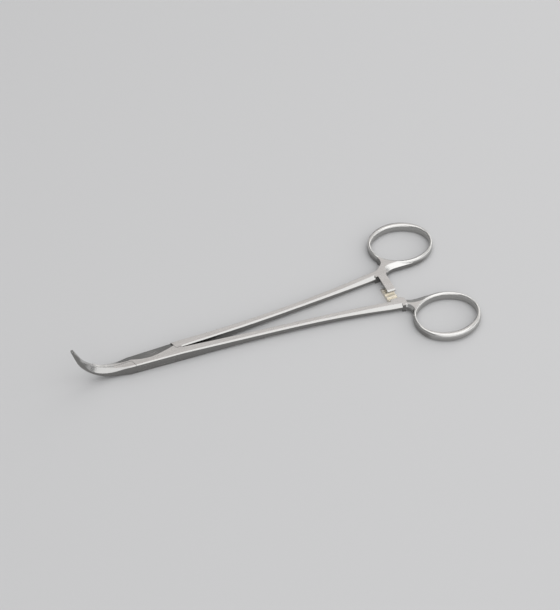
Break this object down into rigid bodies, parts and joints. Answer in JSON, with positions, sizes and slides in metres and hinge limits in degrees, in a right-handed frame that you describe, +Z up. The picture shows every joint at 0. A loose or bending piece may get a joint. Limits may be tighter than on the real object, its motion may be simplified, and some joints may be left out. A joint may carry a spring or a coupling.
{
  "type": "hemostat forceps",
  "caption": "Slender box-lock haemostatic forceps with jaws curved upward near a right angle, serrated grip faces, a ratchet between the shanks and oval finger rings.",
  "frame": {"origin": "on the pivot axis at the underside of the box lock, which is the plane the forceps lie on", "axes": "+X along the forceps towards the finger rings, +Y towards the ring of the male half, +Z up along the pivot axis, the way the jaws curve"},
  "size_m": [0.1816, 0.0778, 0.0218],
  "materials": {
    "polished_steel": "hand-polished stainless steel with finely brushed flats",
    "pin_steel": "riveted and ground flush, satin"
  },
  "bodies": {
    "female": {"female_half": "polished_steel", "pivot_pin": "pin_steel"},
    "male": {"male_half": "polished_steel"}
  },
  "joints": [
    {"name": "box_lock", "type": "hinge", "parent": "female", "child": "male", "pos_m": [0, 0, 0], "axis": [0, 0, 1], "range_deg": [0, 60]}
  ]
}
